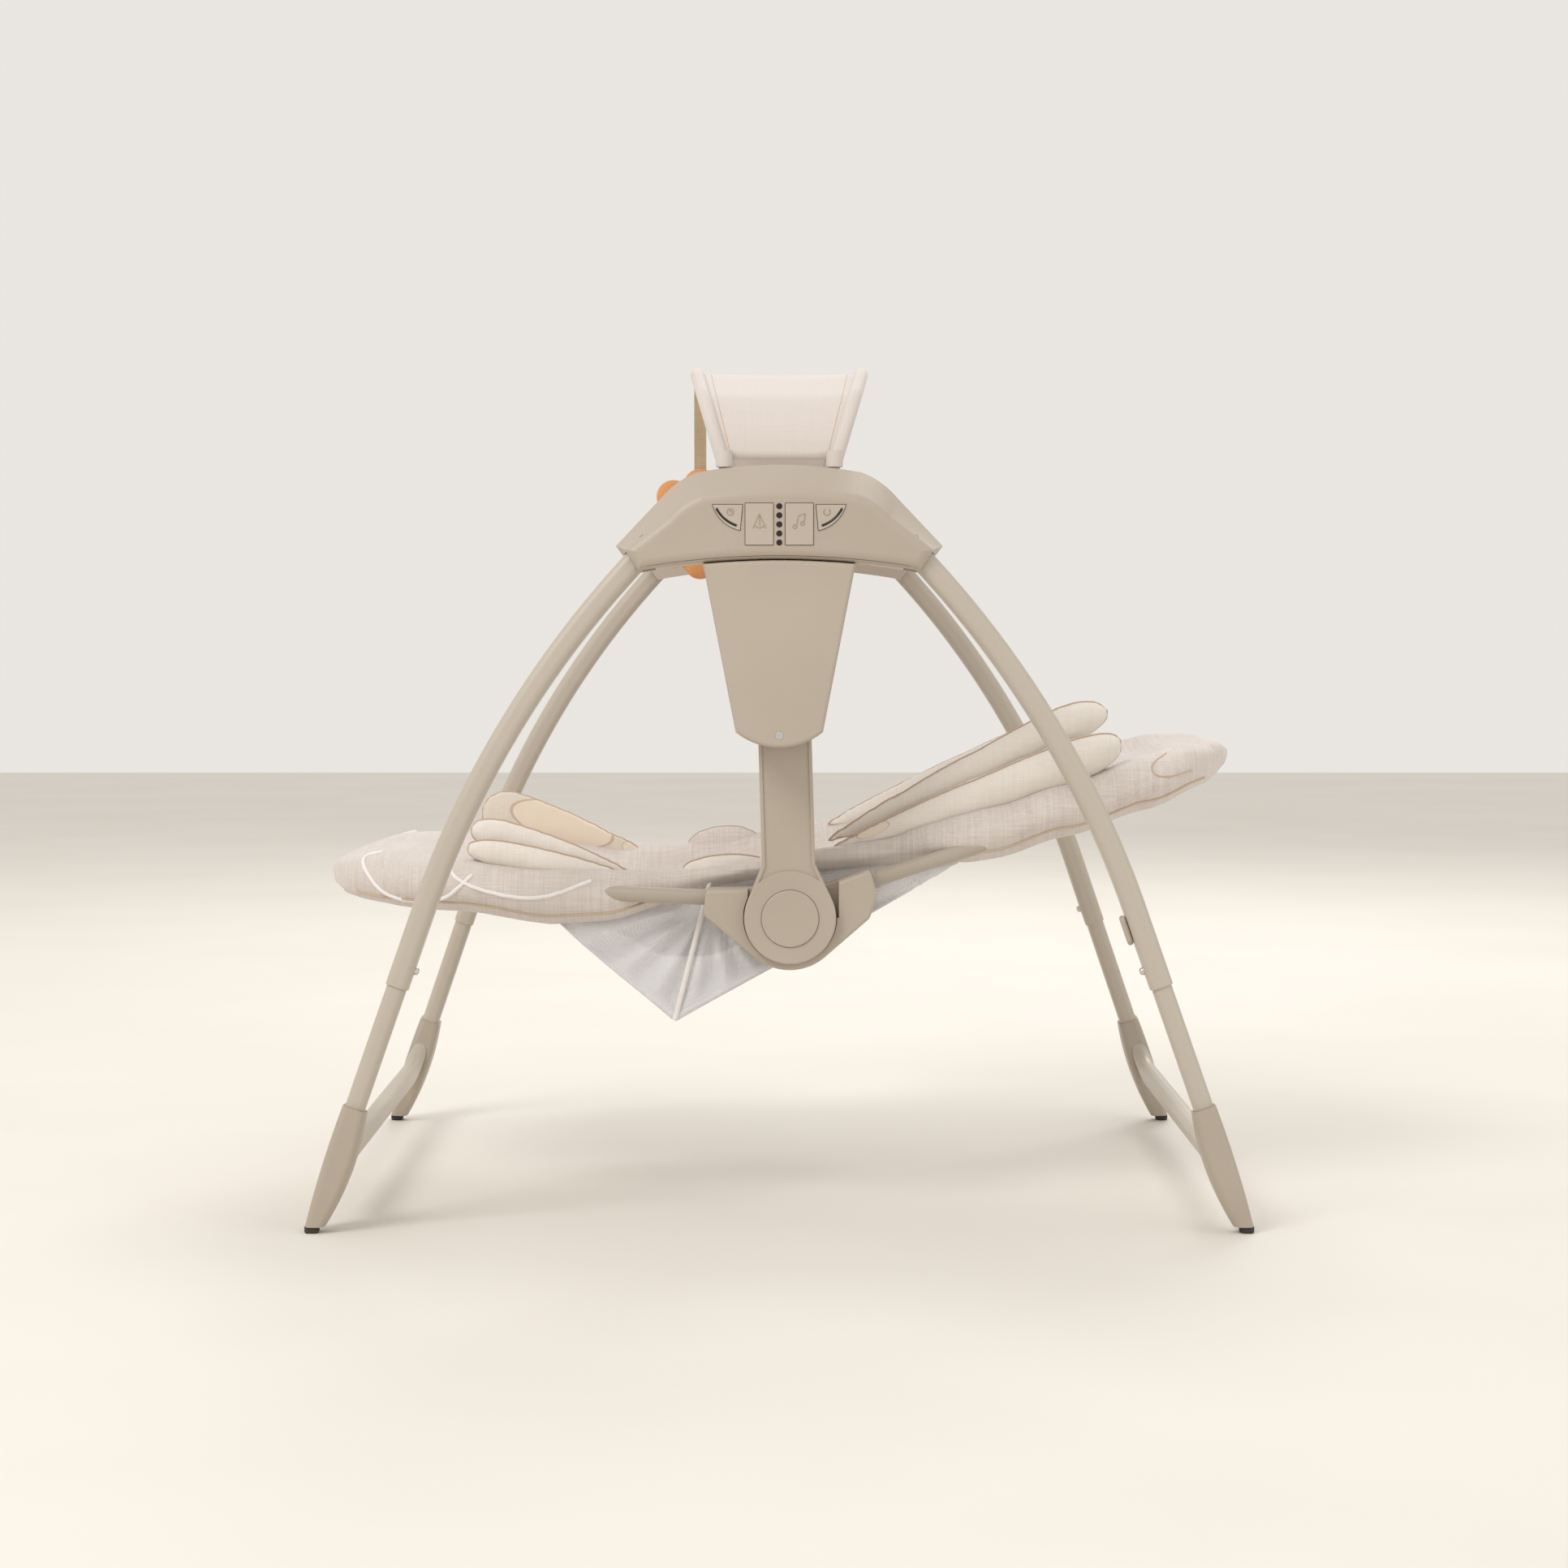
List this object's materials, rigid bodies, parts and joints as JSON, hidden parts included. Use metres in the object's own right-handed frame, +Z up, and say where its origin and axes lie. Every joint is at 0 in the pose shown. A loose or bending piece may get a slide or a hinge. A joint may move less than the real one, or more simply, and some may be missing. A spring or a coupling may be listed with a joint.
{
  "type": "baby swing",
  "caption": "Portable electric baby swing: folding tube frame, side hubs with a control panel, swing arms, a reclining padded seat in a mesh sling, and a toy arch.",
  "frame": {"origin": "on the floor, at the middle of the footprint", "axes": "+X towards the head end of the seat, +Y away from the control panel, +Z up"},
  "size_m": [0.7475, 0.578, 0.671],
  "materials": {
    "housing_plastic": "satin",
    "leg_tube": "satin",
    "seat_tube": "satin",
    "control_key": "satin",
    "indicator_lens": "gloss",
    "circuit_board": "satin",
    "speaker_body": "matte",
    "coil_winding": "satin",
    "magnet": "satin",
    "steel_pin": "satin",
    "screw_steel": "gloss",
    "cell_jacket": "gloss",
    "boot_plastic": "satin",
    "rubber": "matte",
    "seat_linen": "matte",
    "wing_fabric": "matte",
    "sling_mesh": "matte",
    "insert_fabric": "matte",
    "harness_webbing": "matte",
    "buckle_plastic": "satin",
    "arch_rod": "satin",
    "canopy_fabric": "matte",
    "toy_plush": "matte"
  },
  "bodies": {
    "hubs": {"batteries": "cell_jacket", "battery_door": "housing_plastic", "battery_screw": "screw_steel", "battery_tray": "housing_plastic", "circuit_board": "circuit_board", "drive_coil": "coil_winding", "far_arm_fairing": "housing_plastic", "far_hub_inner_cover": "housing_plastic", "far_hub_outer_shell": "housing_plastic", "leg_pivot_pins": "steel_pin", "level_lights": "indicator_lens", "near_hub_inner_cover": "housing_plastic", "near_hub_outer_shell": "housing_plastic", "speaker": "speaker_body"},
    "swing": {"near_swing_arm": "wing_fabric", "far_swing_arm": "wing_fabric", "drive_magnet": "magnet"},
    "near_cap": {"near_recline_cap": "housing_plastic"},
    "far_cap": {"far_recline_cap": "housing_plastic"},
    "seat": {"far_seat_bracket": "housing_plastic", "foot_pad": "seat_linen", "foot_seat_loop": "seat_tube", "foot_wing_far": "wing_fabric", "foot_wing_near": "wing_fabric", "harness_buckle": "buckle_plastic", "harness_straps": "harness_webbing", "head_pad": "seat_linen", "head_seat_loop": "seat_tube", "head_wing_far": "wing_fabric", "head_wing_near_lower": "wing_fabric", "head_wing_near_upper": "wing_fabric", "hip_bolster_far": "wing_fabric", "hip_bolster_near": "wing_fabric", "mesh_sling": "sling_mesh", "near_seat_bracket": "housing_plastic", "seat_trough": "insert_fabric"},
    "foot_leg": {"foot_leg_boot_far": "boot_plastic", "foot_leg_boot_near": "boot_plastic", "foot_leg_lower_tube": "leg_tube", "foot_leg_rubber_tips": "rubber", "foot_leg_upper_tube_far": "leg_tube", "foot_leg_upper_tube_near": "leg_tube"},
    "head_leg": {"head_leg_boot_far": "boot_plastic", "head_leg_boot_near": "boot_plastic", "head_leg_lower_tube": "leg_tube", "head_leg_rubber_tips": "rubber", "head_leg_upper_tube_far": "leg_tube", "head_leg_upper_tube_near": "leg_tube", "storage_clip": "housing_plastic"},
    "foot_snap_near": {"foot_leg_snap_button_near": "steel_pin"},
    "foot_snap_far": {"foot_leg_snap_button_far": "steel_pin"},
    "head_snap_near": {"head_leg_snap_button_near": "steel_pin"},
    "head_snap_far": {"head_leg_snap_button_far": "steel_pin"},
    "swing_speed_button": {"swing_speed_button": "control_key"},
    "melody_button": {"melody_button": "control_key"},
    "timer_button": {"timer_button": "control_key"},
    "volume_button": {"volume_button": "control_key"},
    "toy_arch": {"arch_rods": "arch_rod", "canopy": "canopy_fabric"},
    "toy": {"flower_toy": "toy_plush"}
  },
  "joints": [
    {"name": "swing_hinge", "type": "hinge", "parent": "hubs", "child": "swing", "pos_m": [0, 0, 0.532], "axis": [0, 1, 0], "range_deg": [-11, 11]},
    {"name": "near_cap_press", "type": "slide", "parent": "swing", "child": "near_cap", "axis": [0, 1, 0], "range_m": [0, 0.003], "stiffness_N_per_m": 400, "springref_m": -0.001},
    {"name": "far_cap_press", "type": "slide", "parent": "swing", "child": "far_cap", "axis": [0, -1, 0], "range_m": [0, 0.003], "stiffness_N_per_m": 400, "springref_m": -0.001},
    {"name": "recline_hinge", "type": "hinge", "parent": "swing", "child": "seat", "pos_m": [0.0085, 0, 0.236], "axis": [0, -1, 0], "range_deg": [0, 20]},
    {"name": "foot_leg_fold", "type": "hinge", "parent": "hubs", "child": "foot_leg", "pos_m": [-0.1, 0, 0.528], "axis": [0, -1, 0], "range_deg": [0, 25]},
    {"name": "head_leg_fold", "type": "hinge", "parent": "hubs", "child": "head_leg", "pos_m": [0.1, 0, 0.528], "axis": [0, 1, 0], "range_deg": [0, 25]},
    {"name": "foot_snap_near_press", "type": "slide", "parent": "foot_leg", "child": "foot_snap_near", "axis": [-0.9451, 0, 0.3269], "range_m": [0, 0.0032], "stiffness_N_per_m": 600, "springref_m": -0.001},
    {"name": "foot_snap_far_press", "type": "slide", "parent": "foot_leg", "child": "foot_snap_far", "axis": [-0.9451, 0, 0.3269], "range_m": [0, 0.0032], "stiffness_N_per_m": 600, "springref_m": -0.001},
    {"name": "head_snap_near_press", "type": "slide", "parent": "head_leg", "child": "head_snap_near", "axis": [0.9451, 0, 0.3269], "range_m": [0, 0.0032], "stiffness_N_per_m": 600, "springref_m": -0.001},
    {"name": "head_snap_far_press", "type": "slide", "parent": "head_leg", "child": "head_snap_far", "axis": [0.9451, 0, 0.3269], "range_m": [0, 0.0032], "stiffness_N_per_m": 600, "springref_m": -0.001},
    {"name": "swing_speed_button_press", "type": "slide", "parent": "hubs", "child": "swing_speed_button", "axis": [0, 1, 0], "range_m": [0, 0.0008], "stiffness_N_per_m": 800, "springref_m": -0.0005},
    {"name": "melody_button_press", "type": "slide", "parent": "hubs", "child": "melody_button", "axis": [0, 1, 0], "range_m": [0, 0.0008], "stiffness_N_per_m": 800, "springref_m": -0.0005},
    {"name": "timer_button_press", "type": "slide", "parent": "hubs", "child": "timer_button", "axis": [0, 1, 0], "range_m": [0, 0.0008], "stiffness_N_per_m": 800, "springref_m": -0.0005},
    {"name": "volume_button_press", "type": "slide", "parent": "hubs", "child": "volume_button", "axis": [0, 1, 0], "range_m": [0, 0.0008], "stiffness_N_per_m": 800, "springref_m": -0.0005},
    {"name": "toy_arch_lift", "type": "slide", "parent": "hubs", "child": "toy_arch", "axis": [0, 0, 1], "range_m": [0, 0.04]},
    {"name": "toy_swing", "type": "hinge", "parent": "toy_arch", "child": "toy", "pos_m": [-0.067, -0.035, 0.6688], "axis": [0, 1, 0], "range_deg": [-20, 20]}
  ]
}
